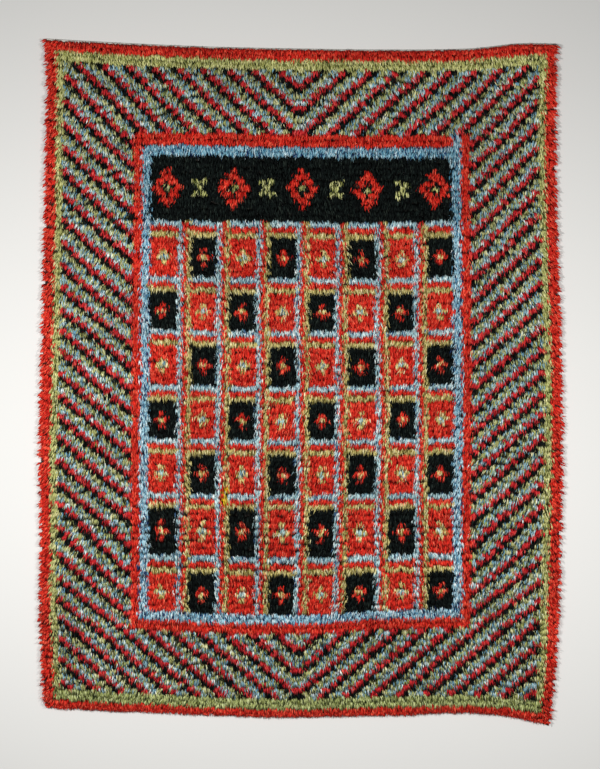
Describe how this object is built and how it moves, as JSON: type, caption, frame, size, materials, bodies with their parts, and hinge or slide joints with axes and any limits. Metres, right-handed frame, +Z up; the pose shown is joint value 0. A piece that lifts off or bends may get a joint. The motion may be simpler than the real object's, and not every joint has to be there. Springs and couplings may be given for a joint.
{
  "type": "ryijy rug",
  "caption": "Rectangular knotted-pile wool rug lying flat, with a diagonal striped border, a checkered field of framed squares and a dark ornament band across one end.",
  "frame": {"origin": "on the floor, at the middle of the rug's bounding box", "axes": "+Z up out of the pile, +Y along the rug towards the end with the ornament band, +X across the rug to the right of that end when seen from above"},
  "size_m": [1.5376, 2.0036, 0.0181],
  "materials": {
    "wool_pile": "matt hand-dyed wool pile in vermilion red, greenish black, olive green and heathered blue on a greyish-white woven ground"
  },
  "bodies": {
    "root": {"ryijy_rug": "wool_pile"}
  },
  "joints": []
}
